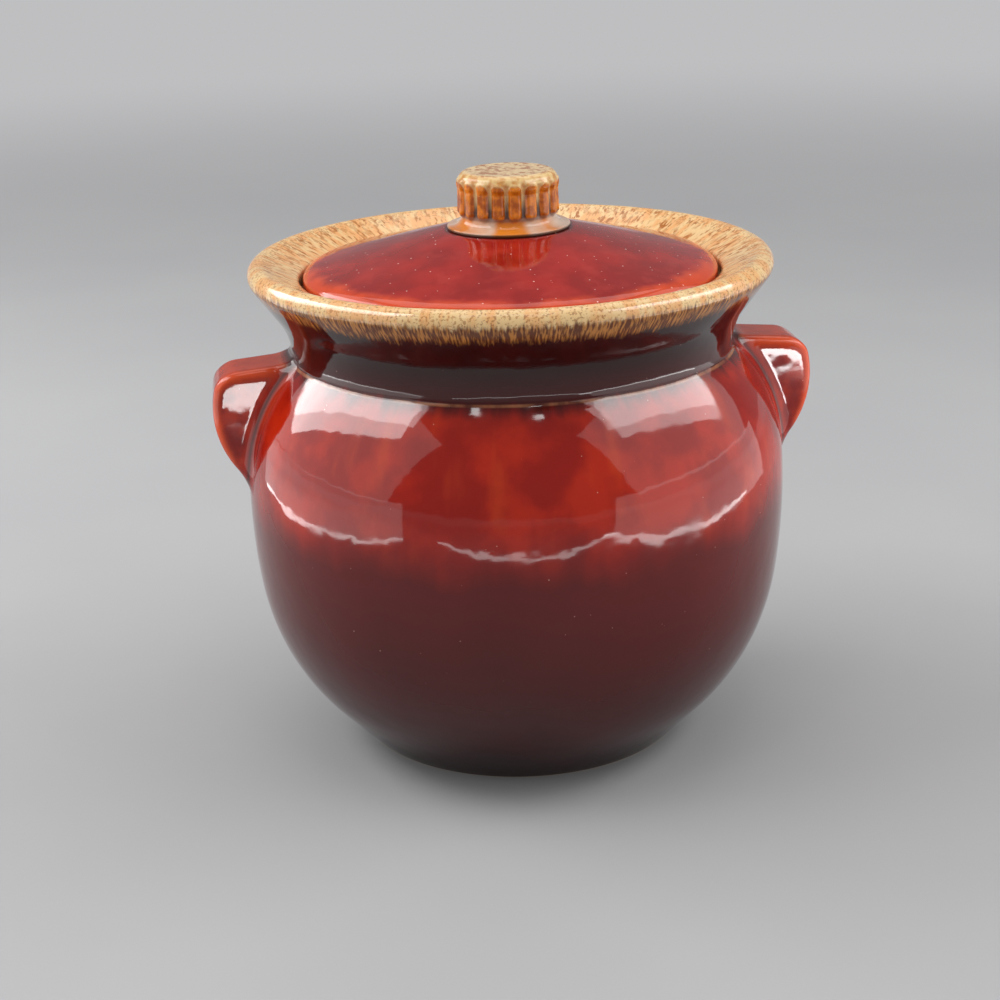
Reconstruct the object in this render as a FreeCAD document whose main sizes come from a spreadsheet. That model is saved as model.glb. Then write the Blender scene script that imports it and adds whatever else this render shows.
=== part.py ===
import FreeCAD, Part
import enum
import math
import os

import Sketcher
from FreeCAD import Vector

# A glazed stoneware bean pot: a round-bellied pot with a flared rim, two solid ear lugs and a
# loose lid with a ribbed knob. Millimetres, +Z up. The origin is the middle of the foot, on the
# surface that the pot stands on, and the lugs lie along X.

doc = FreeCAD.newDocument("bean_pot")

# ---------------------------------------------------------------- sizes
SIZES = [
    # the belly
    ("hip_curve", 73, "radius of the curve from the foot flare to the belly"),
    ("belly_radius", 84, "widest radius"),
    ("belly_height", 79, "height of the widest place"),
    ("belly_curve", 190, "radius of the nearly upright middle of the belly"),
    ("shoulder_curve", 54, "radius of the shoulder"),
    ("wall", 7, "thickness of the thrown wall"),
    ("bottom", 8, "height of the inside floor"),
    ("bottom_round", 14, "curve between the inside floor and the wall"),
    # the foot
    ("foot_inset", 32.2, "from the widest belly in to the ring that the pot stands on"),
    ("foot_ring_width", 8, "flat of that ring"),
    ("foot_recess", 2.2, "how far the underside is trimmed up inside the ring"),
    ("foot_flare", 42, "degrees from upright of the wall just above the foot"),
    ("foot_round", 1.2, "wiped edge of the foot"),
    # the neck and rim
    ("neck_inset", 16, "from the widest belly in to the crease between shoulder and neck"),
    ("shoulder_rise", 45.2, "from the widest place up to that crease"),
    ("neck_round", 1.6, "glaze-filled corner of the crease"),
    ("neck_bend", 13.1, "height of the hollow bend above the crease"),
    ("rim_overhang", 12.3, "from the crease out to the outside of the rolled rim"),
    ("rim_rise", 28.9, "from the crease up to the top of the rim"),
    ("rim_round", 3.8, "radius of the roll"),
    ("dish_slope", 26, "degrees from level of the slope inside the rim"),
    ("throat_inset", 7.8, "from the crease in to the mouth of the pot"),
    ("throat_round", 4, "edge where the throat opens into the belly"),
    ("seat_depth", 9.5, "from the top of the rim down to the ledge that the lid sits on"),
    ("seat_width", 4.2, "width of that ledge"),
    ("seat_round", 1, "edges of the ledge"),
    # the lugs
    ("lug_stand", 9.4, "how far a lug stands out past the widest belly"),
    ("lug_drop", 0.2, "from the crease down to a lug's top"),
    ("lug_fall", 5, "degrees that a lug's top falls outwards"),
    ("lug_waist", 15.5, "from a lug's top down to its outermost place"),
    ("lug_curve", 31, "radius of a lug's outside curve"),
    ("lug_corner", 9, "radius of a lug's top corner"),
    ("lug_thickness", 20, "across a lug"),
    ("lug_round", 4.5, "edges of a lug"),
    # the lid
    ("lid_gap", 0.9, "play between lid and rim, all round"),
    ("lid_rise", 17, "from the seat to the flat that carries the knob"),
    ("lid_edge", 5.73, "height of the lid's edge, before it is rounded"),
    ("lid_thickness", 6.8, "thickness of the lid, measured upright"),
    ("lid_round", 3, "top edge of the lid"),
    ("lid_foot_round", 0.8, "lower edges of the lid"),
    ("ring_gap", 1, "play between the lid's ring and the throat, all round"),
    ("ring_width", 5, "thickness of the ring under the lid"),
    ("ring_depth", 6, "how far that ring reaches into the throat"),
    ("ring_round", 2, "corner between the ring and the lid's underside"),
    # the knob
    ("knob_foot_radius", 18.9, "smooth collar at the foot of the knob"),
    ("knob_foot_edge", 0.9, "upright edge of that collar"),
    ("knob_land", 0.7, "flat of the lid that shows round the collar"),
    ("collar_curve", 3.3, "radius of the hollow sweep from the collar up to the ribs"),
    ("rib_radius", 15.8, "over the ribs, at their lower ends"),
    ("rib_taper", 2.5, "degrees that the ribs lean in"),
    ("rib_count", 18, "ribs round the knob"),
    ("flute_depth", 0.9, "depth of the grooves between the ribs"),
    ("flute_radius", 1, "radius of those grooves"),
    ("flute_length", 9.6, "height of those grooves"),
    ("knob_height", 17.3, "from the lid to the top of the knob"),
    ("knob_round", 2.8, "top edge of the knob"),
]
sheet = doc.addObject("Spreadsheet::Sheet", "Sizes")
for row, (alias, value, note) in enumerate(SIZES, start=1):
    sheet.set(f"A{row}", alias)
    sheet.set(f"B{row}", str(value))
    sheet.set(f"C{row}", note)
    sheet.setAlias(f"B{row}", alias)

# Places worked out from the sizes, across (x) from the axis and up (z) from the foot.
PLACES = [
    ("foot_x", "Sizes.belly_radius - Sizes.foot_inset"),
    ("foot_in_x", "foot_x - Sizes.foot_ring_width"),
    ("inner_x", "Sizes.belly_radius - Sizes.wall"),
    ("neck_x", "Sizes.belly_radius - Sizes.neck_inset"),
    ("neck_z", "Sizes.belly_height + Sizes.shoulder_rise"),
    ("bend_z", "neck_z + Sizes.neck_bend"),
    ("lip_x", "neck_x + Sizes.rim_overhang - Sizes.rim_round"),
    ("rim_z", "neck_z + Sizes.rim_rise"),
    ("lip_z", "rim_z - Sizes.rim_round"),
    ("throat_x", "neck_x - Sizes.throat_inset"),
    ("seat_x", "throat_x + Sizes.seat_width"),
    ("seat_z", "rim_z - Sizes.seat_depth"),
    ("lug_x", "Sizes.belly_radius + Sizes.lug_stand"),
    ("lug_z", "neck_z - Sizes.lug_drop"),
    ("lid_x", "seat_x - Sizes.lid_gap"),
    ("ring_out_x", "throat_x - Sizes.ring_gap"),
    ("ring_in_x", "ring_out_x - Sizes.ring_width"),
    ("land_x", "Sizes.knob_foot_radius + Sizes.knob_land"),
    ("flute_x", "Sizes.rib_radius - Sizes.flute_depth"),
    ("collar_z", "Sizes.knob_foot_edge + Sizes.collar_curve"),
]
places = doc.addObject("App::VarSet", "Places")
for name, expression in PLACES:
    places.addProperty("App::PropertyFloat", name)
    places.setExpression(name, expression)
doc.recompute()
size = {alias: sheet.get(alias) for alias, _, _ in SIZES}
size.update({name: getattr(places, name) for name, _ in PLACES})


class Sketched(enum.IntEnum):
    """A sketch's numbers for the points of a line or arc, and for the first edge it borrows."""

    START = 1
    END = 2
    MIDDLE = 3
    FIRST_BORROWED = -3


NEAR = 0.02  # two lengths that differ by less than this are the same
FULL_TURN = 360


# ---------------------------------------------------------------- drawing helpers
def new_body(name, lift=None):
    """A body whose own origin stands at height lift in the pot's frame."""
    body = doc.addObject("PartDesign::Body", name)
    body.Label = name
    if lift:
        body.setExpression("Placement.Base.z", lift)
    return body


def origin_plane(body, role):
    return next(o for o in body.Origin.OriginFeatures if o.Role == role)


class Outline:
    """A closed outline in a sketch, drawn as a chain of lines and arcs.

    The points it is drawn through are first guesses near the right places. The constraints
    that follow, tied to the sheet, move them there."""

    def __init__(self, body, name, role="XZ_Plane", lift=None):
        self.sketch = body.newObject("Sketcher::SketchObject", name)
        self.sketch.AttachmentSupport = [(origin_plane(body, role), "")]
        self.sketch.MapMode = "FlatFace"
        if lift:
            self.sketch.setExpression("AttachmentOffset.Base.z", lift)
        self.pieces = []
        self.here = None
        self.next_borrowed = Sketched.FIRST_BORROWED

    def start(self, x, y):
        self.here = Vector(x, y, 0)

    def _add(self, shape, smooth):
        piece = self.sketch.addGeometry(shape, False)
        first = self.sketch.getPoint(piece, Sketched.START)
        ends = (Sketched.START, Sketched.END)
        if first.distanceToPoint(self.here) > NEAR:
            ends = (Sketched.END, Sketched.START)
        if self.pieces:
            last, last_ends = self.pieces[-1]
            kind = "Tangent" if smooth else "Coincident"
            self.sketch.addConstraint(Sketcher.Constraint(kind, last, last_ends[1], piece, ends[0]))
        self.pieces.append((piece, ends))
        return len(self.pieces) - 1

    def line(self, x, y, smooth=False):
        there = Vector(x, y, 0)
        index = self._add(Part.LineSegment(self.here, there), smooth)
        self.here = there
        return index

    def arc(self, x, y, radius, smooth=False, hollow=False):
        """An arc to x, y that bulges to the right of its way, or to the left if hollow."""
        there = Vector(x, y, 0)
        chord = there - self.here
        half = chord.Length / 2
        rise = radius - math.sqrt(radius**2 - half**2) if radius > half else half
        side = Vector(chord.y, -chord.x, 0).normalize() * (-rise if hollow else rise)
        index = self._add(Part.Arc(self.here, (self.here + there) / 2 + side, there), smooth)
        self.here = there
        return index

    def close(self):
        (first, first_ends), (last, last_ends) = self.pieces[0], self.pieces[-1]
        self.sketch.addConstraint(
            Sketcher.Constraint("Coincident", last, last_ends[1], first, first_ends[0]))

    def level(self, *indexes):
        for index in indexes:
            self.sketch.addConstraint(Sketcher.Constraint("Horizontal", self.pieces[index][0]))

    def upright(self, *indexes):
        for index in indexes:
            self.sketch.addConstraint(Sketcher.Constraint("Vertical", self.pieces[index][0]))

    def parallel(self, index, other):
        pair = (self.pieces[index][0], self.pieces[other][0])
        self.sketch.addConstraint(Sketcher.Constraint("Parallel", *pair))

    def _set(self, constraint, expression):
        number = self.sketch.addConstraint(constraint)
        self.sketch.setExpression(f"Constraints[{number}]", expression)

    def _place(self, piece, point, x, y):
        where = self.sketch.getPoint(piece, point)
        for kind, guess, expression in (("DistanceX", where.x, x), ("DistanceY", where.y, y)):
            if expression is not None:
                self._set(Sketcher.Constraint(kind, piece, point, guess), expression)

    def end_at(self, index, x=None, y=None):
        """Place the end of a piece, across and up."""
        piece, ends = self.pieces[index]
        self._place(piece, ends[1], x, y)

    def start_at(self, index, x=None, y=None):
        piece, ends = self.pieces[index]
        self._place(piece, ends[0], x, y)

    def centre_at(self, index, x=None, y=None):
        self._place(self.pieces[index][0], Sketched.MIDDLE, x, y)

    def radius(self, index, expression):
        piece = self.pieces[index][0]
        self._set(Sketcher.Constraint("Radius", piece, self.sketch.Geometry[piece].Radius), expression)

    def circle(self, x, radius, across, round_by):
        """A whole circle, centred on the sketch's level axis."""
        piece = self.sketch.addGeometry(Part.Circle(Vector(x, 0, 0), Vector(0, 0, 1), radius), False)
        self._place(piece, Sketched.MIDDLE, across, "0")
        self._set(Sketcher.Constraint("Radius", piece, radius), round_by)

    def share_centre(self, index, other, other_index):
        """Give an arc the centre of an arc in another outline of the same body."""
        self.sketch.addExternal(other.sketch.Name, f"Edge{other.pieces[other_index][0] + 1}")
        middle = Sketched.MIDDLE
        self.sketch.addConstraint(Sketcher.Constraint(
            "Coincident", self.pieces[index][0], middle, self.next_borrowed, middle))
        self.next_borrowed -= 1

    def slope(self, index, expression):
        """The direction of a line, in degrees from level."""
        piece = self.pieces[index][0]
        line = self.sketch.Geometry[piece]
        run = line.EndPoint - line.StartPoint
        self._set(Sketcher.Constraint("Angle", piece, math.atan2(run.y, run.x)), expression)


def revolve(body, outline, name, cut=False):
    """Turn an outline round the upright axis, as clay on the body or as a hollow in it."""
    kind = "PartDesign::Groove" if cut else "PartDesign::Revolution"
    feature = body.newObject(kind, name)
    feature.Profile = outline.sketch
    feature.ReferenceAxis = (outline.sketch, ["V_Axis"])
    feature.Angle = FULL_TURN
    doc.recompute()
    return feature


def round_edges(body, base, name, radius, picks):
    """Fillet the edges that picks finds."""
    names = [f"Edge{i}" for i, edge in enumerate(base.Shape.Edges, start=1) if picks(edge)]
    if not names:
        raise RuntimeError(f"{name}: no edge found")
    feature = body.newObject("PartDesign::Fillet", name)
    feature.Base = (base, names)
    feature.setExpression("Radius", radius)
    doc.recompute()
    return feature


def ring(radius=None, height=None, above=-math.inf, below=math.inf):
    """Picks circular edges by radius and height, in the body's own frame."""
    def pick(edge):
        curve = edge.Curve
        if not isinstance(curve, Part.Circle):
            return False
        level = curve.Center.z
        right_radius = radius is None or abs(curve.Radius - radius) < NEAR
        right_height = height is None or abs(level - height) < NEAR
        return right_radius and right_height and above + NEAR < level < below - NEAR
    return pick


def either(*picks):
    return lambda edge: any(pick(edge) for pick in picks)


# ---------------------------------------------------------------- pot body
def pot_outside(body):
    """The thrown outside of the pot as a full turn of clay, dished at the top by its rim."""
    s = size
    outline = Outline(body, body.Name + "_outside")
    flare_x = (s["foot_x"] + s["belly_radius"]) / 2
    flare_z = (flare_x - s["foot_x"]) / math.tan(math.radians(s["foot_flare"]))
    outline.start(0, s["foot_recess"])
    recess = outline.line(s["foot_in_x"], s["foot_recess"])
    recess_wall = outline.line(s["foot_in_x"], 0)
    foot = outline.line(s["foot_x"], 0)
    flare = outline.line(flare_x, flare_z)
    hip = outline.arc(s["belly_radius"], s["belly_height"] * 2 / 3, s["hip_curve"], smooth=True)
    belly = outline.arc(s["belly_radius"], s["belly_height"] + s["wall"], s["belly_curve"], smooth=True)
    shoulder = outline.arc(s["neck_x"], s["neck_z"], s["shoulder_curve"], smooth=True)
    neck = outline.arc((s["neck_x"] + s["lip_x"]) / 2, s["bend_z"], 2 * s["neck_bend"], hollow=True)
    under_rim = outline.line(s["lip_x"] + s["rim_round"], s["lip_z"], smooth=True)
    roll = outline.arc(s["lip_x"], s["rim_z"], s["rim_round"], smooth=True)
    dish = outline.line(s["seat_x"], s["lip_z"], smooth=True)
    top = outline.line(0, s["lip_z"])
    axis = outline.line(0, s["foot_recess"])
    outline.close()
    outline.level(recess, foot, top)
    outline.upright(recess_wall, axis)
    outline.start_at(recess, "0", "Sizes.foot_recess")
    outline.end_at(recess, "Places.foot_in_x")
    outline.end_at(foot, "Places.foot_x", "0")
    outline.slope(flare, "90 - Sizes.foot_flare")
    outline.radius(hip, "Sizes.hip_curve")
    outline.centre_at(belly, "Sizes.belly_radius - Sizes.belly_curve", "Sizes.belly_height")
    outline.radius(belly, "Sizes.belly_curve")
    outline.radius(shoulder, "Sizes.shoulder_curve")
    outline.end_at(shoulder, "Places.neck_x", "Places.neck_z")
    outline.centre_at(neck, None, "Places.neck_z")
    outline.end_at(neck, None, "Places.bend_z")
    outline.centre_at(roll, "Places.lip_x", "Places.lip_z")
    outline.radius(roll, "Sizes.rim_round")
    outline.slope(dish, "Sizes.dish_slope - 180")
    outline.end_at(dish, "Places.seat_x")
    outline.hip, outline.shoulder = hip, shoulder
    clay = revolve(body, outline, body.Name + "_thrown")
    round_edges(body, clay, body.Name + "_crease", "Sizes.neck_round",
                ring(s["neck_x"], s["neck_z"]))
    return outline


def pot_inside(body, outside):
    """The belly, throat and lid seat, hollowed out with an even wall behind the outside curves."""
    s = size
    outline = Outline(body, "pot_inside")
    flare_x = (s["foot_x"] + s["inner_x"]) / 2
    flare_z = s["bottom"] + (flare_x - s["foot_x"]) / math.tan(math.radians(s["foot_flare"]))
    outline.start(0, s["bottom"])
    floor = outline.line(s["foot_x"], s["bottom"])
    flare = outline.line(flare_x, flare_z)
    hip = outline.arc(s["inner_x"], s["belly_height"] * 2 / 3, s["hip_curve"] - s["wall"], smooth=True)
    belly = outline.arc(s["inner_x"], s["belly_height"] + s["wall"],
                        s["belly_curve"] - s["wall"], smooth=True)
    shoulder = outline.arc(s["throat_x"], s["neck_z"], s["shoulder_curve"] - s["wall"], smooth=True)
    throat = outline.line(s["throat_x"], s["seat_z"])
    seat = outline.line(s["seat_x"], s["seat_z"])
    seat_wall = outline.line(s["seat_x"], s["rim_z"])
    mouth = outline.line(0, s["rim_z"])
    axis = outline.line(0, s["bottom"])
    outline.close()
    outline.level(floor, seat, mouth)
    outline.upright(throat, seat_wall, axis)
    outline.start_at(floor, "0", "Sizes.bottom")
    outline.slope(flare, "90 - Sizes.foot_flare")
    outline.centre_at(belly, "Sizes.belly_radius - Sizes.belly_curve", "Sizes.belly_height")
    outline.radius(belly, "Sizes.belly_curve - Sizes.wall")
    outline.share_centre(hip, outside, outside.hip)
    outline.share_centre(shoulder, outside, outside.shoulder)
    outline.end_at(shoulder, "Places.throat_x")
    outline.end_at(throat, None, "Places.seat_z")
    outline.end_at(seat, "Places.seat_x")
    outline.end_at(seat_wall, None, "Places.rim_z")
    return revolve(body, outline, "pot_hollow", cut=True)


def make_pot_body():
    """The pot, thrown in one piece, with its foot, floor, throat and lid seat softened."""
    s = size
    body = new_body("pot_body")
    outside = pot_outside(body)
    hollow = pot_inside(body, outside)
    foot_edges = round_edges(body, hollow, "foot_edges", "Sizes.foot_round",
                             either(ring(s["foot_x"], 0), ring(s["foot_in_x"], 0)))
    throat_edge = round_edges(body, foot_edges, "throat_edge", "Sizes.throat_round",
                              ring(s["throat_x"], above=s["belly_height"], below=s["seat_z"]))
    floor_edge = round_edges(body, throat_edge, "floor_edge", "Sizes.bottom_round",
                             ring(height=s["bottom"]))
    round_edges(body, floor_edge, "seat_edges", "Sizes.seat_round",
                either(ring(s["throat_x"], s["seat_z"]), ring(s["seat_x"], above=s["seat_z"])))
    return body


pot_body = make_pot_body()


# ---------------------------------------------------------------- lugs
def lug_blank():
    """One ear before it is fitted: its outline, its thickness and its rounded edges."""
    s = size
    body = new_body("lug_blank")
    outline = Outline(body, "lug_outline")
    corner_z = s["lug_z"] - s["lug_corner"]
    outline.start(s["neck_x"], s["lug_z"])
    top = outline.line(s["lug_x"] - s["lug_corner"], s["lug_z"])
    corner = outline.arc(s["lug_x"], corner_z, s["lug_corner"], smooth=True, hollow=True)
    side = outline.arc(s["inner_x"], corner_z - s["lug_curve"], s["lug_curve"],
                       smooth=True, hollow=True)
    outline.line(s["neck_x"], s["lug_z"])
    outline.close()
    outline.start_at(top, "Places.neck_x", "Places.lug_z")
    outline.slope(top, "-Sizes.lug_fall")
    outline.radius(corner, "Sizes.lug_corner")
    outline.centre_at(side, "Places.lug_x - Sizes.lug_curve", "Places.lug_z - Sizes.lug_waist")
    outline.radius(side, "Sizes.lug_curve")
    outline.end_at(side, "Places.inner_x")
    ear = body.newObject("PartDesign::Pad", "lug_ear")
    ear.Profile = outline.sketch
    ear.Midplane = True
    ear.setExpression("Length", "Sizes.lug_thickness")
    doc.recompute()

    def outer_edge(edge):
        box = edge.BoundBox
        on_face = abs(abs(box.YMin) - s["lug_thickness"] / 2) < NEAR and box.YLength < NEAR
        return on_face and box.XMax > s["inner_x"] + NEAR
    round_edges(body, ear, "lug_edges", "Sizes.lug_round", outer_edge)
    return body


# Two solid ears, pressed and luted to the shoulder, whose roots follow the thrown outside.
pot_form = new_body("pot_form")
pot_outside(pot_form)
lug_right = doc.addObject("Part::Cut", "lug_right")
lug_right.Label = "lug_right"
lug_right.Base = lug_blank()
lug_right.Tool = pot_form
lug_left = doc.addObject("Part::Mirroring", "lug_left")
lug_left.Label = "lug_left"
lug_left.Source = lug_right
lug_left.Normal = Vector(1, 0, 0)
doc.recompute()


# ---------------------------------------------------------------- lid
def make_lid():
    """A low cone of clay that sits on the ledge, with a ring below that keeps it centred."""
    s = size
    body = new_body("lid", lift="Places.seat_z")
    outline = Outline(body, "lid_section")
    under_z = s["lid_rise"] - s["lid_thickness"]
    outline.start(0, under_z)
    ceiling = outline.line(s["land_x"], under_z)
    under = outline.line(s["ring_in_x"], under_z - s["lid_edge"])
    ring_inner = outline.line(s["ring_in_x"], -s["ring_depth"])
    ring_foot = outline.line(s["ring_out_x"], -s["ring_depth"])
    ring_outer = outline.line(s["ring_out_x"], 0)
    rest = outline.line(s["lid_x"], 0)
    edge = outline.line(s["lid_x"], s["lid_edge"])
    top = outline.line(s["land_x"], s["lid_rise"])
    knob_flat = outline.line(0, s["lid_rise"])
    axis = outline.line(0, under_z)
    outline.close()
    outline.level(ceiling, ring_foot, rest, knob_flat)
    outline.upright(ring_inner, ring_outer, edge, axis)
    outline.parallel(under, top)
    outline.start_at(ceiling, "0", "Sizes.lid_rise - Sizes.lid_thickness")
    outline.end_at(ceiling, "Places.land_x")
    outline.end_at(under, "Places.ring_in_x")
    outline.end_at(ring_inner, None, "-Sizes.ring_depth")
    outline.end_at(ring_foot, "Places.ring_out_x")
    outline.end_at(ring_outer, None, "0")
    outline.end_at(rest, "Places.lid_x")
    outline.end_at(edge, None, "Sizes.lid_edge")
    outline.end_at(top, "Places.land_x", "Sizes.lid_rise")
    clay = revolve(body, outline, "lid_clay")
    top_edge = round_edges(body, clay, "lid_top_edge", "Sizes.lid_round",
                           ring(s["lid_x"], above=0))
    under_corner = round_edges(body, top_edge, "lid_under_corner", "Sizes.ring_round",
                               ring(s["ring_in_x"], above=0))
    round_edges(body, under_corner, "lid_foot_edges", "Sizes.lid_foot_round",
                either(ring(s["lid_x"], 0), ring(s["ring_out_x"], -s["ring_depth"]),
                       ring(s["ring_in_x"], -s["ring_depth"])))
    return body


lid = make_lid()


# ---------------------------------------------------------------- knob
def make_knob():
    """A moulded knob, stuck on the lid's flat: a smooth collar, then a barrel of upright ribs."""
    s = size
    body = new_body("lid_knob", lift="Places.seat_z + Sizes.lid_rise")
    outline = Outline(body, "knob_section")
    sweep = s["collar_curve"]
    outline.start(0, 0)
    foot = outline.line(s["knob_foot_radius"], 0)
    foot_edge = outline.line(s["knob_foot_radius"], s["knob_foot_edge"])
    collar_top = outline.line(s["flute_x"] + sweep, s["knob_foot_edge"])
    hollow_sweep = outline.arc(s["flute_x"], s["collar_z"], sweep, smooth=True, hollow=True)
    rib_foot = outline.line(s["rib_radius"], s["collar_z"])
    barrel = outline.line(s["rib_radius"], s["knob_height"])
    top = outline.line(0, s["knob_height"])
    axis = outline.line(0, 0)
    outline.close()
    outline.level(foot, collar_top, rib_foot, top)
    outline.upright(foot_edge, axis)
    outline.start_at(foot, "0", "0")
    outline.end_at(foot, "Sizes.knob_foot_radius")
    outline.end_at(foot_edge, None, "Sizes.knob_foot_edge")
    outline.centre_at(hollow_sweep, "Places.flute_x + Sizes.collar_curve")
    outline.radius(hollow_sweep, "Sizes.collar_curve")
    outline.end_at(hollow_sweep, None, "Places.collar_z")
    outline.end_at(rib_foot, "Sizes.rib_radius")
    outline.slope(barrel, "90 + Sizes.rib_taper")
    outline.end_at(barrel, None, "Sizes.knob_height")
    clay = revolve(body, outline, "knob_clay")
    shoulder = round_edges(body, clay, "knob_shoulder", "Sizes.knob_round",
                           ring(height=s["knob_height"]))
    flute = Outline(body, "flute_section", role="XY_Plane", lift="Places.collar_z")
    flute.circle(s["flute_x"] + s["flute_radius"], s["flute_radius"],
                 "Places.flute_x + Sizes.flute_radius", "Sizes.flute_radius")
    groove = body.newObject("PartDesign::Pocket", "knob_flute")
    groove.Profile = flute.sketch
    groove.Reversed = True
    groove.setExpression("Length", "Sizes.flute_length")
    doc.recompute()
    if groove.Shape.Volume >= shoulder.Shape.Volume:
        raise RuntimeError("the flute cuts nothing")
    flutes = body.newObject("PartDesign::PolarPattern", "knob_flutes")
    flutes.Originals = [groove]
    flutes.Axis = (flute.sketch, ["N_Axis"])
    flutes.Angle = FULL_TURN
    flutes.setExpression("Occurrences", "Sizes.rib_count")
    body.Tip = flutes
    doc.recompute()
    return body


lid_knob = make_knob()

# ---------------------------------------------------------------- checks and export
PARTS = [pot_body, lug_left, lug_right, lid, lid_knob]

doc.recompute()
for item in doc.Objects:
    if "Invalid" in item.State or "Error" in item.State:
        raise RuntimeError(f"{item.Label} failed: {item.State}")
for part in PARTS:
    if part.Shape.isNull() or not part.Shape.isValid() or len(part.Shape.Solids) != 1:
        raise RuntimeError(f"{part.Label} is not one good solid")
os.makedirs("parts", exist_ok=True)
for part in PARTS:
    part.Shape.exportStep(f"parts/{part.Label}.step")
    print(f"{part.Label}: {part.Shape.Volume / 1000:.1f} cm3, {len(part.Shape.Faces)} faces")
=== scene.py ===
import functools
import math

import bmesh
import bpy
from mathutils import Matrix, Quaternion, Vector, noise


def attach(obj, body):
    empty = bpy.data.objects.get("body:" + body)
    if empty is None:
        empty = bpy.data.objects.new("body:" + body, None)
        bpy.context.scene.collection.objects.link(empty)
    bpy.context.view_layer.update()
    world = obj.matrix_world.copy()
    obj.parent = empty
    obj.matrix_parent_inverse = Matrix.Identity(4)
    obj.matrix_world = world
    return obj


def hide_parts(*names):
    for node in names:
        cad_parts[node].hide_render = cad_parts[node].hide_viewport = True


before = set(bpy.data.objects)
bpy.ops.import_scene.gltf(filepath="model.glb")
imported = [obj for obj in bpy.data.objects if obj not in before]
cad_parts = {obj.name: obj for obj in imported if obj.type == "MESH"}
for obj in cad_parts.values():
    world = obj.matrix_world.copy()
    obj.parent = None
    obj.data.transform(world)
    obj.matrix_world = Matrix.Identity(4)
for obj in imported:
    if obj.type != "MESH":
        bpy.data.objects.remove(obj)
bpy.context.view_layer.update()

scene = bpy.context.scene
scene.view_settings.view_transform = "Standard"


# ---------------------------------------------------------------- camera
# The pot stands below the eye, a long step away, with its left lug turned towards the viewer.
MM = 0.001
camera_away, camera_height = 602.8 * MM, 280.55 * MM
camera_round = math.radians(8)  # how far round the pot the camera stands, towards the left lug
camera_heading, camera_down, camera_tilt = map(math.radians, (7.497, 19.051, -1.798))

lens = bpy.data.cameras.new("camera")
lens.lens = 72
lens.sensor_width = 36
lens.clip_start, lens.clip_end = 0.01, 100
camera = bpy.data.objects.new("camera", lens)
scene.collection.objects.link(camera)
camera.matrix_world = (
    Matrix.Translation((-camera_away * math.sin(camera_round),
                        -camera_away * math.cos(camera_round), camera_height))
    @ Matrix.Rotation(-camera_heading, 4, "Z")
    @ Matrix.Rotation(math.pi / 2 - camera_down, 4, "X")
    @ Matrix.Rotation(camera_tilt, 4, "Z")
)
scene.camera = camera


# ---------------------------------------------------------------- table and light
# A wide pale table in a plain pale room, with a tall soft window on either side of the viewer, a
# brighter pane slanting across the top of each, a window behind the pot, and lamps overhead.
class Socket:
    """A number on its way through a shader. Arithmetic on it adds Math nodes."""

    def __init__(self, shader, link):
        self.shader, self.link = shader, link

    def _math(self, operation, *values):
        return self.shader.node("ShaderNodeMath", dict(enumerate(values)), operation=operation)

    def __add__(self, other):
        return self._math("ADD", self, other)

    def __radd__(self, other):
        return self._math("ADD", other, self)

    def __sub__(self, other):
        return self._math("SUBTRACT", self, other)

    def __rsub__(self, other):
        return self._math("SUBTRACT", other, self)

    def __mul__(self, other):
        return self._math("MULTIPLY", self, other)

    def __rmul__(self, other):
        return self._math("MULTIPLY", other, self)

    def __truediv__(self, other):
        return self._math("DIVIDE", self, other)

    def __pow__(self, other):
        return self._math("POWER", self, other)


class Shader:
    """One material or world, built a node at a time."""

    def __init__(self, owner):
        owner.use_nodes = True
        self.tree = owner.node_tree
        self.tree.nodes.clear()

    def node(self, kind, sockets, out=0, **settings):
        """Adds a node, sets it up, fills its sockets by name or number, and gives one output."""
        made = self.tree.nodes.new(kind)
        for name, value in settings.items():
            if name == "stops":
                ramp = made.color_ramp.elements
                while len(ramp) < len(value):
                    ramp.new(1)
                for stop, (at, colour) in zip(ramp, value):
                    stop.position, stop.color = at, (*colour, 1)
            else:
                setattr(made, name, value)
        for key, value in sockets.items():
            if isinstance(value, Socket):
                self.tree.links.new(value.link, made.inputs[key])
            else:
                made.inputs[key].default_value = value
        return Socket(self, made.outputs[out]) if made.outputs else None


PALE = (0.52, 0.52, 0.53, 1)  # how the room looks, and the table far from the pot
table_top = bpy.data.materials.new("pale_table")
shader = Shader(table_top)
place = shader.node("ShaderNodeTexCoord", {}, out="Object")
cloud = shader.node("ShaderNodeTexNoise", {"Vector": place, "Scale": 6.0, "Detail": 3.0})
tone = shader.node("ShaderNodeValToRGB", {"Fac": cloud},
                   stops=[(0.3, (0.44, 0.44, 0.445)), (0.7, (0.47, 0.47, 0.47))])
surface = shader.node("ShaderNodeBsdfPrincipled", {"Base Color": tone, "Roughness": 0.7})
out_from_pot = shader.node("ShaderNodeVectorMath", {0: place}, out="Value", operation="LENGTH")
far = shader.node("ShaderNodeMapRange", {0: out_from_pot, 1: 0.40, 2: 1.8, 3: 0.0, 4: 1.0},
                  interpolation_type="SMOOTHSTEP")
camera_ray, glossy_ray = (shader.node("ShaderNodeLightPath", {}, out=ray)
                          for ray in ("Is Camera Ray", "Is Glossy Ray"))
pale = shader.node("ShaderNodeEmission", {"Color": PALE, "Strength": 1.0})
shown_as = shader.node("ShaderNodeMixShader",
                       {0: far * (camera_ray + glossy_ray), 1: surface, 2: pale})
shader.node("ShaderNodeOutputMaterial", {"Surface": shown_as})

floor_mesh = bpy.data.meshes.new("floor")
bm = bmesh.new()
bmesh.ops.create_grid(bm, x_segments=2, y_segments=2, size=30)
bm.to_mesh(floor_mesh)
bm.free()
floor_mesh.materials.append(table_top)
floor = bpy.data.objects.new("floor", floor_mesh)
scene.collection.objects.link(floor)

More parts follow.
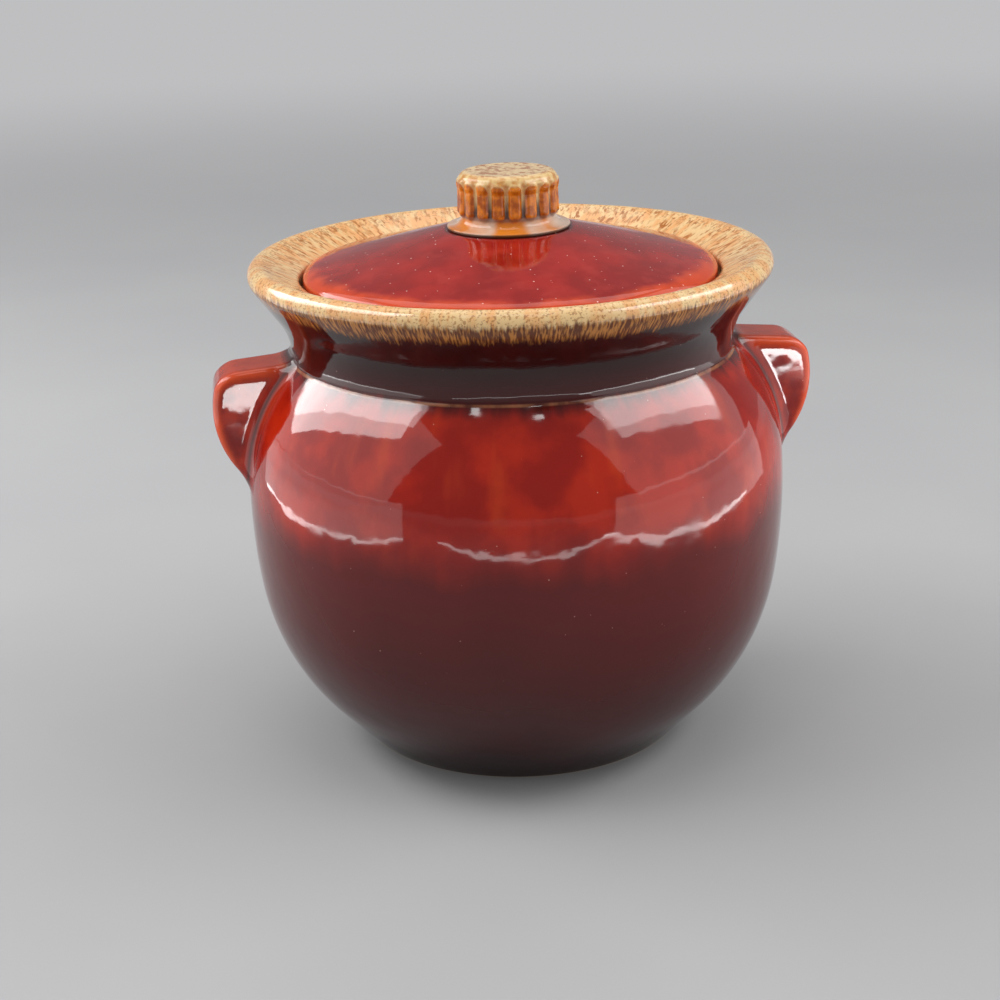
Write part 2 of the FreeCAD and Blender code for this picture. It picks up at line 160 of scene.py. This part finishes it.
world = bpy.data.worlds.new("room")
scene.world = world
shader = Shader(world)
room = shader.node("ShaderNodeBackground", {"Color": (0.86, 0.87, 0.90, 1), "Strength": 0.32})
seen = shader.node("ShaderNodeBackground", {"Color": PALE, "Strength": 1.0})
camera_ray = shader.node("ShaderNodeLightPath", {}, out="Is Camera Ray")
both = shader.node("ShaderNodeMixShader", {0: camera_ray, 1: room, 2: seen})
shader.node("ShaderNodeOutputWorld", {"Surface": both})


POT_MIDDLE = Vector((0, 0, 100 * MM))


def soft_light(name, azimuth, elevation, away, width, height, glow, slant=0):
    """A flat soft light that faces the pot's middle, with angles in degrees and lengths in metres.

    Azimuth 0 is in front of the pot, and 90 to its right. The glow is how bright its face is.
    """
    lamp = bpy.data.lights.new(name, "AREA")
    lamp.shape = "RECTANGLE"
    lamp.size, lamp.size_y = width, height
    lamp.energy = glow * width * height * math.pi
    light = bpy.data.objects.new(name, lamp)
    scene.collection.objects.link(light)
    a, e = math.radians(azimuth), math.radians(elevation)
    back = Vector((math.sin(a) * math.cos(e), -math.cos(a) * math.cos(e), math.sin(e)))
    light.rotation_mode = "QUATERNION"
    light.location = POT_MIDDLE + back * away
    light.rotation_quaternion = (back.to_track_quat("Z", "Y")
                                 @ Quaternion((0, 0, 1), math.radians(slant)))
    light.visible_camera = False
    return light


for placed in (
        ("window_left", -97, 29, 0.95, 1.52, 0.94, 0.95),
        ("window_left_pane", -109.0, 41.6, 0.93, 1.12, 0.32, 3.9, 38.9),
        ("window_right", 74, 31, 0.95, 1.36, 0.90, 0.95),
        ("window_right_pane", 79.6, 42.7, 0.93, 0.90, 0.26, 3.3, -29.0),
        ("window_back", 172, 64, 1.2, 1.3, 0.6, 1.1),
        ("lamp_overhead", -8, 79, 1.2, 0.55, 0.40, 1.6),
        ("lamp_front", 8, 61, 1.2, 0.07, 0.07, 9.0),
        ("lamp_front_left", -37, 62, 1.2, 0.07, 0.07, 9.0)):
    soft_light(*placed)


# ---------------------------------------------------------------- pot body
# The pot: stoneware thrown in one piece, with a trimmed foot, a rolled rim and a ledge inside it
# for the lid. Glazed all over but for the ring that it stands on.
UNEVEN, HAND = 0.22 * MM, 34 * MM  # how far the thrown surface wanders, and over what length


class Section:
    """Half of a turned piece's section, in millimetres from the axis and up from the table."""

    def __init__(self, across, up):
        self.bm = bmesh.new()
        self.tip = self.bm.verts.new((across * MM, 0, up * MM))

    def line(self, across, up, steps=1):
        """Goes on in a straight line, in so many equal steps."""
        there = Vector((across * MM, 0, up * MM))
        step = (there - self.tip.co) / steps
        for _ in range(steps):
            made = bmesh.ops.extrude_vert_indiv(self.bm, verts=[self.tip])
            self.tip = made["verts"][0]
            self.tip.co += step

    def path(self, *points):
        """Goes on in straight lines, each to (across, up) or (across, up, steps)."""
        for point in points:
            self.line(*point)

    def arc(self, middle_across, middle_up, turn, steps):
        """Swings the tip round a middle by turn degrees, anticlockwise, the axis on the left."""
        middle = (middle_across * MM, 0, middle_up * MM)
        made = bmesh.ops.spin(self.bm, geom=[self.tip], cent=middle, axis=(0, -1, 0),
                              angle=math.radians(turn), steps=steps)
        self.tip = next(v for v in made["geom_last"] if isinstance(v, bmesh.types.BMVert))

    def corner(self, radius, turn, steps):
        """Rounds on from the last line, to the left by turn degrees."""
        before = self.tip.link_edges[0].other_vert(self.tip).co
        ahead = (self.tip.co - before).normalized()
        side = Vector((-ahead.z, 0, ahead.x)) * (radius * MM)
        middle = (self.tip.co + side) / MM
        self.arc(middle.x, middle.z, turn, steps)

    def turned(self, name, steps=256):
        """Spins the section into a closed piece."""
        bmesh.ops.spin(self.bm, geom=self.bm.verts[:] + self.bm.edges[:], cent=(0, 0, 0),
                       axis=(0, 0, 1), angle=math.tau, steps=steps, use_merge=True)
        return finished(self.bm, name)


def finished(bm, name):
    """Makes a smooth piece of a bmesh: closed, facing outwards, a little uneven from the hand."""
    bmesh.ops.remove_doubles(bm, verts=bm.verts, dist=1e-6)
    bmesh.ops.recalc_face_normals(bm, faces=bm.faces)
    bm.normal_update()
    for v, way in [(v, v.normal.copy()) for v in bm.verts]:
        above_foot = min(max(v.co.z / MM - 2, 0) / 12, 1)  # the foot itself stays flat
        v.co -= way * above_foot * UNEVEN * (0.5 + 0.5 * noise.noise(v.co / HAND))
    for face in bm.faces:
        face.smooth = True
    mesh = bpy.data.meshes.new(name)
    bm.to_mesh(mesh)
    bm.free()
    piece = bpy.data.objects.new(name, mesh)
    scene.collection.objects.link(piece)
    return piece


def degrees(middle, start, end):
    """The turn from start to end round middle, the short way."""
    a = math.atan2(start[1] - middle[1], start[0] - middle[0])
    b = math.atan2(end[1] - middle[1], end[0] - middle[0])
    return (math.degrees(b - a) + 180) % 360 - 180


FLARE_TOP = (64.08, 13.64)
HIP_MIDDLE, HIP_TOP = (9.83, 62.48), (82.10, 52.18)
BELLY_MIDDLE, BELLY_RADIUS, BELLY_TOP = (-106, 79), 190, (83.75, 88.80)
SHOULDER_MIDDLE, SHOULDER_RADIUS, SHOULDER_TOP = (29.82, 86.01), 54, (68.9, 123.25)
CREASE_X = 68
NECK_MIDDLE, NECK_RADIUS, NECK_LOW, NECK_TOP = (90, 124.2), 22, (68.12, 125.2), (72.33, 137.3)
LIP_MIDDLE, LIP_LOW, LIP_TOP = (76.5, 149.3), (79.55, 147.04), (74.83, 152.72)
SEAT_X, SEAT_Z, THROAT_X = 64.4, 143.6, 60.2

pot = Section(0, 2.2)
pot.path((40.0, 2.2, 6), (43.2, 1.9), (44.1, 0.6), (45.0, 0), (50.6, 0, 2))  # the foot ring
pot.arc(50.6, 1.2, 48, 4)
pot.line(*FLARE_TOP, 5)
pot.arc(*HIP_MIDDLE, degrees(HIP_MIDDLE, FLARE_TOP, HIP_TOP), 22)
pot.arc(*BELLY_MIDDLE, degrees(BELLY_MIDDLE, HIP_TOP, BELLY_TOP), 14)
pot.arc(*SHOULDER_MIDDLE, degrees(SHOULDER_MIDDLE, BELLY_TOP, SHOULDER_TOP), 24)
pot.path((68.35, 123.95), (68.15, 124.5), NECK_LOW)
pot.arc(*NECK_MIDDLE, degrees(NECK_MIDDLE, NECK_LOW, NECK_TOP), 10)
pot.line(*LIP_LOW, 5)
pot.arc(*LIP_MIDDLE, degrees(LIP_MIDDLE, LIP_LOW, LIP_TOP), 14)
pot.path((65.4, 148.12, 6), (64.62, 147.5), (SEAT_X, 146.6), (SEAT_X, SEAT_Z, 3),
         (THROAT_X + 1, SEAT_Z, 2), (THROAT_X, SEAT_Z - 1), (THROAT_X, 124.0, 6))
pot.path((60.9, 121.2), (62.8, 118.9), (66.0, 115.5), (70.2, 109.8), (73.6, 102.6), (75.8, 95.2),
         (76.76, 88.44), (77.0, 79.0, 2), (76.5, 64.0, 2), (75.17, 53.16, 2), (71.4, 39.0, 2),
         (65.6, 26.8, 2), (58.0, 17.2, 2), (50.0, 11.0, 2), (42.0, 8.5), (34.0, 8.0), (0, 8.0, 5))
pot_body = pot.turned("pot_stoneware")
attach(pot_body, "pot")
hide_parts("pot_body")
in_hollow = pot_body.data.attributes.new("inside", "FLOAT", "POINT").data
for v in pot_body.data.vertices:
    inwards = -(v.normal.x * v.co.x + v.normal.y * v.co.y) / (math.hypot(v.co.x, v.co.y) + MM)
    floor_of_pot = v.normal.z > 0.5 and v.co.z < 60 * MM
    in_hollow[v.index].value = (inwards > 0.3 or floor_of_pot) and v.co.z < (SEAT_Z - 0.5) * MM


class Glaze(Shader):
    """A glaze that changes with height, with distance from the axis, and round the pot."""

    def __init__(self, name):
        self.material = bpy.data.materials.new(name)
        super().__init__(self.material)
        self.place = self.node("ShaderNodeTexCoord", {}, out="Object")
        self.up = self.node("ShaderNodeSeparateXYZ", {0: self.place}, out="Z") / MM
        flat = self.node("ShaderNodeVectorMath", {0: self.place, 1: (1, 1, 0)},
                         operation="MULTIPLY")
        self.across = self.node("ShaderNodeVectorMath", {0: flat}, out="Value",
                                operation="LENGTH") / MM
        self.bearing = self.node("ShaderNodeVectorMath", {0: flat}, operation="NORMALIZE")

    def cloud(self, size, detail=2.0):
        """Soft blotches about size millimetres apart."""
        return self.node("ShaderNodeTexNoise", {"Vector": self.place, "Scale": 1 / (size * MM),
                                                "Detail": detail})

    def runs(self, wide, long, detail=2.0):
        """Streaks down the pot and in over its rim, wide and long in millimetres."""
        neck_radius = 72
        around = self.node("ShaderNodeVectorMath", {0: self.bearing, "Scale": neck_radius / wide},
                           operation="SCALE")
        down = self.node("ShaderNodeCombineXYZ", {"Z": (self.up + self.across) / long})
        at = self.node("ShaderNodeVectorMath", {0: around, 1: down}, operation="ADD")
        return self.node("ShaderNodeTexNoise", {"Vector": at, "Scale": 1.0, "Detail": detail})

    def specks(self, apart, size, share, dimensions="3D"):
        """Round specks, size millimetres across, in a share of cells that far apart."""
        near, tint = (
            self.node("ShaderNodeTexVoronoi", {"Vector": self.place, "Scale": 1 / (apart * MM)},
                      out=output, voronoi_dimensions=dimensions)
            for output in ("Distance", "Color"))
        pick = self.node("ShaderNodeSeparateXYZ", {0: tint})
        shrunk = near + pick / share * size / apart * 0.4  # so that no two are quite alike
        round_speck = self.between(shrunk, size / apart * 0.7, size / apart * 0.3)
        return round_speck * self.between(pick, share, share * 0.9)

    def between(self, value, low, high):
        """0 at low, 1 at high, smooth between; low may be the larger."""
        return self.node("ShaderNodeMapRange", {0: value, 1: low, 2: high, 3: 0.0, 4: 1.0},
                         interpolation_type="SMOOTHSTEP")

    def mix(self, share, one, other):
        """From one colour to the other."""
        colours = [c if isinstance(c, Socket) else (*c, 1) for c in (one, other)]
        return self.node("ShaderNodeMix", {0: share, 6: colours[0], 7: colours[1]}, out=2,
                         data_type="RGBA")

    def fired(self, colour, roughness, height):
        """The finished surface; height is in millimetres."""
        normal = self.node("ShaderNodeBump", {"Strength": 1.0, "Distance": MM, "Height": height})
        surface = self.node("ShaderNodeBsdfPrincipled", {
            "Base Color": colour, "Roughness": roughness, "Normal": normal, "IOR": 1.5})
        self.node("ShaderNodeOutputMaterial", {"Surface": surface})
        return self.material


CREAM, PEACH = (0.82, 0.57, 0.28), (0.80, 0.42, 0.165)
TAN, FLECK = (0.42, 0.14, 0.026), (0.26, 0.07, 0.014)
DARK_DRIP, TAN_DRIP = (0.13, 0.034, 0.008), (0.50, 0.20, 0.040)
BARE_CLAY = (0.50, 0.40, 0.28)

glaze = Glaze("brown_glaze")
drift, streak = glaze.cloud(26, 3.0), glaze.runs(9, 60)
# Darker towards the foot: the glaze thicker low down, and painted shade where the belly turns
# under, down to a painted contact shadow at the foot.
low = glaze.node("ShaderNodeValToRGB", {"Fac": (glaze.up + (drift - 0.5) * 24) / 100}, stops=[
    (0.04, (0.016, 0.002, 0.002)), (0.22, (0.042, 0.001, 0.001)), (0.45, (0.070, 0.001, 0.001)),
    (0.72, (0.105, 0.002, 0.001))])
# Brighter above: painted light from the windows on the upper belly, its orange streaks partly
# painted reflection.
bright_glaze_and_light = glaze.mix(glaze.between(glaze.cloud(17, 4.0), 0.40, 0.64),
                   (0.28, 0.007, 0.002), (0.43, 0.017, 0.003))
bright_glaze_and_light = glaze.mix(glaze.between(glaze.runs(9, 20, 4.0), 0.52, 0.74) * 0.35,
                   bright_glaze_and_light, (0.58, 0.056, 0.006))
# The wandering line where the painted light above gives way to the darker, painted-shade glaze
# below.
glaze_and_light_break = glaze.up + (drift - 0.5) * 10 + (streak - 0.5) * 12
brown = glaze.mix(glaze.between(glaze_and_light_break, 74, 91), low, bright_glaze_and_light)
# The neck: a darker glaze, deepened with painted shade under the overhanging rim.
neck = glaze.mix(glaze.between(glaze.up, 124, 136), (0.055, 0.002, 0.001), (0.018, 0.001, 0.001))
neck_shade_line = glaze.up + (glaze.runs(4, 30) - 0.5) * 6
brown = glaze.mix(glaze.between(neck_shade_line, 119.5, 124.5), brown, neck)
# A thin golden line along the crease: glaze broken thin over the edge, and a painted highlight.
crease_break_and_highlight = glaze.between(glaze.up, 123.0, 123.4) * glaze.between(glaze.up, 124.1, 123.7)
crease_break_and_highlight = crease_break_and_highlight * glaze.between(glaze.runs(9, 9, 4.0), 0.34, 0.62)
brown = glaze.mix(crease_break_and_highlight * 0.55, brown, (0.56, 0.22, 0.09))

# The hollow, and the lugs: thin and amber where they stand out, dark where the glaze pools.
inside, raised, thinned, pooled = (
    glaze.node("ShaderNodeAttribute", {}, out="Fac", attribute_name=name)
    for name in ("inside", "raised", "thinned", "pooled"))
hollow = glaze.mix(glaze.between(drift, 0.35, 0.65), (0.060, 0.006, 0.003), (0.11, 0.012, 0.004))
brown = glaze.mix(inside, brown, hollow)
amber = glaze.mix(glaze.between(glaze.cloud(8, 4.0), 0.38, 0.64),
                  (0.22, 0.006, 0.002), (0.44, 0.026, 0.005))
amber = glaze.mix(glaze.between(glaze.up, 114, 123) * 0.5, amber, (0.62, 0.065, 0.012))
brown = glaze.mix(raised, brown, amber)
brown = glaze.mix(thinned * (0.35 + 0.6 * glaze.cloud(5)), brown, (0.80, 0.10, 0.022))
brown = glaze.mix(pooled * 0.85, brown, (0.028, 0.003, 0.002))

# The second glaze over the rim: cream, dashed with tan inside, specked on the lip, and run into
# a curtain of fine drips below it.
drip = glaze.runs(0.7, 6, 4.0)
edge = glaze.up + (drift - 0.5) * 3 + (glaze.runs(2.4, 20) - 0.5) * 3 + (drip - 0.5) * 4
on_rim = glaze.between(edge, 142.6, 145.4) * glaze.between(glaze.across, 61.5, 64)
cream = glaze.mix(glaze.between(glaze.runs(3, 9), 0.40, 0.62), CREAM, PEACH)
mottle = glaze.between(glaze.runs(3.0, 7, 3.0), 0.42, 0.62)
dashes = glaze.between(glaze.runs(1.3, 4.6, 4.0), 0.48, 0.60) * glaze.between(glaze.across, 79, 73)
cream = glaze.mix(dashes * (0.40 + 0.60 * mottle), cream, TAN)
lip_specks = glaze.between(glaze.cloud(0.8, 4.0), 0.52, 0.62) * glaze.between(glaze.across, 70, 74)
cream = glaze.mix(lip_specks * 0.6, cream, glaze.mix(mottle, TAN, FLECK))
curtain = glaze.mix(glaze.between(glaze.runs(0.6, 6, 3.0), 0.38, 0.56), TAN_DRIP, DARK_DRIP)
lower_lip = glaze.up + (glaze.runs(1.2, 30) - 0.5) * 3 + (drip - 0.5) * 3
below_lip = glaze.between(lower_lip, 149.8, 147.8) * glaze.between(glaze.across, 74.5, 76.5)
colour = glaze.mix(on_rim, brown, glaze.mix(below_lip, cream, curtain))

specks = glaze.specks(3.6, 0.36, 0.7) * glaze.between(glaze.up, 20, 60)
specks = specks * glaze.between(glaze.up, 140, 136)
colour = glaze.mix(specks * 0.65, colour, (0.75, 0.45, 0.36))
bare = glaze.between(glaze.up, 0.4, 0.2)
colour = glaze.mix(bare, colour, BARE_CLAY)
dull = glaze.between(glaze.cloud(12, 3.0), 0.45, 0.75)
roughness = 0.05 + 0.06 * dull + 0.06 * on_rim + 0.8 * bare
height = glaze.cloud(3) * 0.010 + glaze.cloud(14) * 0.22 + bare * glaze.cloud(0.5) * 0.05
brown_glaze = glaze.fired(colour, roughness, height)
pot_body.data.materials.append(brown_glaze)


# ---------------------------------------------------------------- lugs
# Two solid ears of the same clay, pressed, luted to the shoulder and smoothed in at the root, and
# glazed with the pot.
LUG_TIP, LUG_TOP, LUG_FALL = 93.4, 124.0, 5
LUG_CURVE, LUG_WAIST, LUG_CORNER = 31, 14.0, 5
LUG_HALF, LUG_ROUND, LUG_FILLET = 10, 2.8, 4
LUG_HEART = Vector((56, 0, 109))  # a point that every part of the lug's skin faces


def off_pot(across, up):
    """Millimetres from a point to the pot's outside."""
    if up < BELLY_TOP[1]:
        return math.hypot(across - BELLY_MIDDLE[0], up - BELLY_MIDDLE[1]) - BELLY_RADIUS
    shoulder = math.hypot(across - SHOULDER_MIDDLE[0], up - SHOULDER_MIDDLE[1]) - SHOULDER_RADIUS
    neck = NECK_RADIUS - math.hypot(across - NECK_MIDDLE[0], up - NECK_MIDDLE[1])
    near_neck = up > 118
    return min(shoulder, neck) if near_neck else shoulder


def meet(a, b, radius):
    """Two forms cut to what they share, with the edge between them rounded."""
    a, b = a + radius, b + radius
    return min(max(a, b), 0) + math.hypot(max(a, 0), max(b, 0)) - radius


def join(a, b, radius):
    """Two forms as one, with the corner between them filled to a radius."""
    return max(radius, min(a, b)) - math.hypot(max(radius - a, 0), max(radius - b, 0))


def lug_rim(point):
    """Millimetres from a point to the lug's top or round outer side, whichever is nearer."""
    fall = math.radians(LUG_FALL)
    top = (point.z - LUG_TOP) * math.cos(fall) + (point.x - CREASE_X) * math.sin(fall)
    side = math.hypot(point.x - LUG_TIP + LUG_CURVE, point.z - LUG_TOP + LUG_WAIST) - LUG_CURVE
    return meet(top, side, LUG_CORNER)


def off_lug(point):
    """Millimetres from a point to the lug's skin."""
    return meet(lug_rim(point), abs(point.y) - LUG_HALF, LUG_ROUND)


def skin(lean, bearing):
    """Where a ray from the heart, leaning away from +X, leaves lug and pot together."""
    ray = Vector((math.cos(lean),
                  math.sin(lean) * math.cos(bearing), math.sin(lean) * math.sin(bearing)))
    in_clay, in_air = 0.0, 42.0
    for _ in range(22):
        reach = (in_clay + in_air) / 2
        point = LUG_HEART + ray * reach
        off = join(off_lug(point), off_pot(math.hypot(point.x, point.y), point.z), LUG_FILLET)
        in_clay, in_air = (reach, in_air) if off < 0 else (in_clay, reach)
    return LUG_HEART + ray * in_clay


@functools.cache
def skirt(bearing):
    """How far a ray may lean before it leaves the fillet at the lug's root."""
    on, past = 0.2, 1.6
    for _ in range(12):
        lean = (on + past) / 2
        near_lug = off_lug(skin(lean, bearing)) < LUG_FILLET + 0.15
        on, past = (lean, past) if near_lug else (on, lean)
    return on


def shown(value, low, high):
    """0 below low, 1 above high, and smooth between."""
    share = min(max((value - low) / (high - low), 0), 1)
    return share * share * (3 - 2 * share)


LUG_RINGS, LUG_SPOKES = 56, 104
bm = bmesh.new()
bmesh.ops.spin(bm, geom=[bm.verts.new((1, 0, 0))], cent=(0, 0, 0), axis=(0, 0, 1),
               angle=1, steps=LUG_RINGS)
bmesh.ops.spin(bm, geom=bm.verts[:] + bm.edges[:], cent=(0, 0, 0), axis=(1, 0, 0),
               angle=math.tau, steps=LUG_SPOKES, use_merge=True)
for v in bm.verts:
    share = math.acos(min(v.co.x, 1))
    bearing = round(math.atan2(v.co.z, v.co.y), 4)
    v.co = skin(share * skirt(bearing), bearing) * MM
    if share > 0.995:
        v.co.x -= 0.08 * MM  # the skirt's last ring tucks in under the pot's glaze
mirrored = bm.copy()
bmesh.ops.transform(mirrored, matrix=Matrix.Scale(-1, 4, (1, 0, 0)), verts=mirrored.verts)
lug_right = finished(bm, "lug_right_stoneware")
lug_left = finished(mirrored, "lug_left_stoneware")
SHADES = ("raised", "thinned", "pooled")
for lug, node in ((lug_left, "lug_left"), (lug_right, "lug_right")):
    for name in SHADES:
        lug.data.attributes.new(name, "FLOAT", "POINT")
    raised, thinned, pooled = (lug.data.attributes[name].data for name in SHADES)
    for v in lug.data.vertices:
        point = Vector((abs(v.co.x), v.co.y, v.co.z)) / MM
        wall = off_pot(math.hypot(point.x, point.y), point.z)
        rim, face = lug_rim(point), abs(point.y) - LUG_HALF
        raised[v.index].value = shown(wall, 0.8, 3.5)
        thinned[v.index].value = shown(min(rim, face), -3.2, -0.8) * shown(wall, 3, 7)
        pooled[v.index].value = shown(min(off_lug(point), wall), 0.2, 1.2) * shown(wall, 0.1, 0.5)
    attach(lug, "pot")
    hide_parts(node)
    lug.data.materials.append(brown_glaze)


# ---------------------------------------------------------------- lid
# The lid: thrown in stoneware, a low cone with a flat for the knob, a rounded edge, and a ring
# underneath that keeps it centred in the throat. It sits loose on the ledge.
lid = Section(0, 153.8)
lid.path((19.6, 153.8, 3), (52.6, 145.33, 6), (53.8, 144.6), (54.2, 143.4), (54.2, 138.4, 3),
         (55.0, 137.6), (58.4, 137.6), (59.2, 138.4), (59.2, 143.6, 3), (62.7, 143.6, 2))
lid.arc(62.7, 144.4, 90, 5)
lid.line(63.5, 147.0, 3)
lid.corner(2.2, 45, 8)
lid.corner(7, 30.6, 10)
lid.path((19.9, 160.55, 16), (19.0, 160.62), (0, 160.6, 4))
lid_piece = lid.turned("lid_stoneware")
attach(lid_piece, "lid")
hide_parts("lid")

POOLED_AND_SHADED = (0.016, 0.005, 0.006)  # the dark line where knob and lid meet: glaze pooled in the joint, and painted shade under the collar
glaze = Glaze("lid_glaze")
drift = glaze.cloud(20, 4.0)
red = glaze.mix(glaze.between(drift, 0.40, 0.62), (0.26, 0.009, 0.006), (0.36, 0.015, 0.009))
red = glaze.mix(glaze.between(glaze.cloud(7, 4.0), 0.50, 0.72) * 0.22, red, (0.50, 0.050, 0.035))
thin_edge = glaze.between(glaze.across + (glaze.cloud(10, 3.0) - 0.5) * 9, 57, 62.5)
red = glaze.mix(thin_edge * 0.85, red, (0.66, 0.075, 0.018))
# Darker round the knob's foot: pooled glaze and painted shade under the collar.
round_knob_shade = glaze.between(glaze.across + (glaze.cloud(3) - 0.5) * 2, 20.5, 19.0)
red = glaze.mix(round_knob_shade * 0.75, red, POOLED_AND_SHADED)
red = glaze.mix(glaze.specks(4.0, 0.46, 0.36, "2D") * 0.8, red, (0.88, 0.62, 0.55))
under = glaze.between(glaze.up, 144.6, 144.2)
red = glaze.mix(under, red, BARE_CLAY)
roughness = 0.05 + 0.07 * glaze.between(glaze.cloud(10, 3.0), 0.45, 0.75) + 0.75 * under
height = glaze.cloud(2.4) * 0.010 + glaze.cloud(12) * 0.16
lid_piece.data.materials.append(glaze.fired(red, roughness, height))


# ---------------------------------------------------------------- knob
# The knob: pressed in a mould and stuck on the lid, with a smooth collar and eighteen upright ribs
# that die out under its rounded top.
RIBS, RIB_HALF, RIB_OUT = 18, 1.95, 1.15
RIB_LOW, RIB_HIGH = 164.6, 174.6
RIB_PITCH, RIB_RADIUS = math.tau / RIBS, 15.2  # the angle from rib to rib, and how far out they are
knob = Section(0, 160.6)
knob.path((18.9, 160.6, 3), (18.9, 161.2))
knob.arc(18.3, 161.2, 80, 4)
knob.line(17.6, 161.85)
knob.arc(17.6, 164.95, -80, 10)
knob.path((14.45, 166.2, 4), (14.25, 172.4, 18), (14.7, 174.4, 6), (15.2, 175.4, 3))
knob.arc(12.4, 175.1, 84, 12)
knob.path((10.0, 177.85, 2), (0, 177.9, 6))
knob_piece = knob.turned("knob_stoneware", RIBS * 20)
for v in knob_piece.data.vertices:
    across, up = math.hypot(v.co.x, v.co.y) / MM, v.co.z / MM
    aside = (math.atan2(v.co.y, v.co.x) % RIB_PITCH - RIB_PITCH / 2) * RIB_RADIUS
    beyond = max(RIB_LOW + RIB_HALF - up, up - RIB_HIGH, 0)
    off = math.hypot(aside, beyond) - RIB_HALF
    if across > 12 and 163 < up < 176.6:
        out = RIB_OUT * shown(-off, -0.55, 0.95) * shown(176.4 - up, 0, 2.6)
        v.co.x *= 1 + out / across
        v.co.y *= 1 + out / across
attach(knob_piece, "lid")
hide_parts("lid_knob")

BARE_MIDDLE, BARE_HALF = 169.9, 3.5  # where the cream has run off a rib, up the knob
glaze = Glaze("knob_glaze")
x, y = (glaze.node("ShaderNodeSeparateXYZ", {0: glaze.bearing}, out=axis) for axis in "XY")
turn = glaze.node("ShaderNodeMath", {0: y, 1: x}, operation="ARCTAN2")
aside = glaze.node("ShaderNodeMath", {0: turn * (RIBS / math.tau)}, operation="FRACT") - 0.5
aside = aside * (RIB_PITCH * RIB_RADIUS)
beyond = glaze.node("ShaderNodeMath", {0: glaze.up - BARE_MIDDLE}, operation="ABSOLUTE") - BARE_HALF
beyond = glaze.node("ShaderNodeMath", {0: beyond, 1: 0.0}, operation="MAXIMUM")
off = (aside * aside + beyond * beyond) ** 0.5 + (glaze.cloud(1.6) - 0.5) * 0.5
rib = glaze.between(off, 2.25, 1.8)
amber = glaze.mix(glaze.between(glaze.cloud(3.0, 3.0), 0.38, 0.66),
                  (0.44, 0.100, 0.004), (0.84, 0.26, 0.012))
# The grooves: cream glaze run in from the top, and painted shade deep in the grooves below it.
run = glaze.between(glaze.up + (glaze.cloud(2.5) - 0.5) * 4, 167.0, 173.0)
groove_glaze_and_shade = glaze.mix(run, (0.10, 0.055, 0.045), (0.84, 0.60, 0.27))
colour = glaze.mix(rib, groove_glaze_and_shade, amber)
flecks = glaze.between(glaze.cloud(1.7, 4.0), 0.47, 0.60)
top = glaze.mix(flecks * 0.8, (0.78, 0.56, 0.30), (0.36, 0.11, 0.028))
top_edge = glaze.mix(glaze.between(glaze.cloud(2.6, 3.0), 0.42, 0.64),
                     (0.80, 0.56, 0.25), (0.60, 0.28, 0.080))
top = glaze.mix(glaze.between(glaze.across, 14.2, 12.6), top_edge, top)
shoulder = glaze.between(glaze.up + (glaze.cloud(2.2) - 0.5) * 1.6, 174.4, 175.8)
colour = glaze.mix(shoulder, colour, top)
patch = glaze.node("ShaderNodeTexNoise", {"Vector": glaze.bearing, "Scale": 1.3, "Detail": 2.0})
collar = glaze.mix(glaze.between(patch, 0.38, 0.60), (0.72, 0.22, 0.022), (0.70, 0.52, 0.40))
collar = glaze.mix(glaze.between(glaze.up, 163.9, 164.9) * 0.7, collar, (0.16, 0.11, 0.11))
colour = glaze.mix(glaze.between(glaze.up, 165.9, 165.0), colour, collar)
# Dark at the knob's foot: pooled glaze and painted shade under the collar.
colour = glaze.mix(glaze.between(glaze.up, 161.7, 161.1) * 0.8, colour, POOLED_AND_SHADED)
roughness = 0.06 + 0.06 * flecks
height = glaze.cloud(2.2) * 0.030
knob_piece.data.materials.append(glaze.fired(colour, roughness, height))


# ---------------------------------------------------------------- cards
# Cards of light that reach only the pieces that mirror them, so that the table stays plain: the
# windows' lower ends, the table's bright edge, one for each lug, and the panes' own brightness.
def card_for(pieces, *placed):
    """A soft light that falls on some pieces and on nothing else."""
    light = soft_light(*placed)
    lit = bpy.data.collections.new(light.name + "_lights")
    for piece in pieces:
        lit.objects.link(piece)
    light.light_linking.receiver_collection = lit
    return light


glazed = [pot_body, lug_left, lug_right, lid_piece, knob_piece]
card_for(glazed, "screen_left", -90, -6.8, 0.34, 0.54, 0.115, 1.05)
card_for(glazed, "screen_right", 68, -5.1, 0.34, 0.56, 0.14, 1.05)
card_for([pot_body], "table_edge", -4, -15.9, 0.345, 0.44, 0.006, 4.5)
card_for([pot_body], "table_edge_left", -89, -16.3, 0.335, 0.50, 0.006, 5.5)
card_for([pot_body], "table_edge_right", 58, -16.3, 0.335, 0.44, 0.009, 6.5)
card_for([lug_left], "card_left_lug", -10.9, -11.5, 0.42, 0.14, 0.036, 15.0)
card_for([lug_right], "card_right_lug", 25.8, -10.6, 0.455, 0.14, 0.036, 23.0)
for sheen in (card_for([pot_body], "sheen_left", -107.0, 38.0, 0.92, 1.02, 0.48, 5.8, 37.0),
              card_for([pot_body], "sheen_right", 79.6, 39.5, 0.92, 0.86, 0.38, 3.8, -29.0)):
    sheen.visible_diffuse = False  # seen in the gloss, and lighting nothing
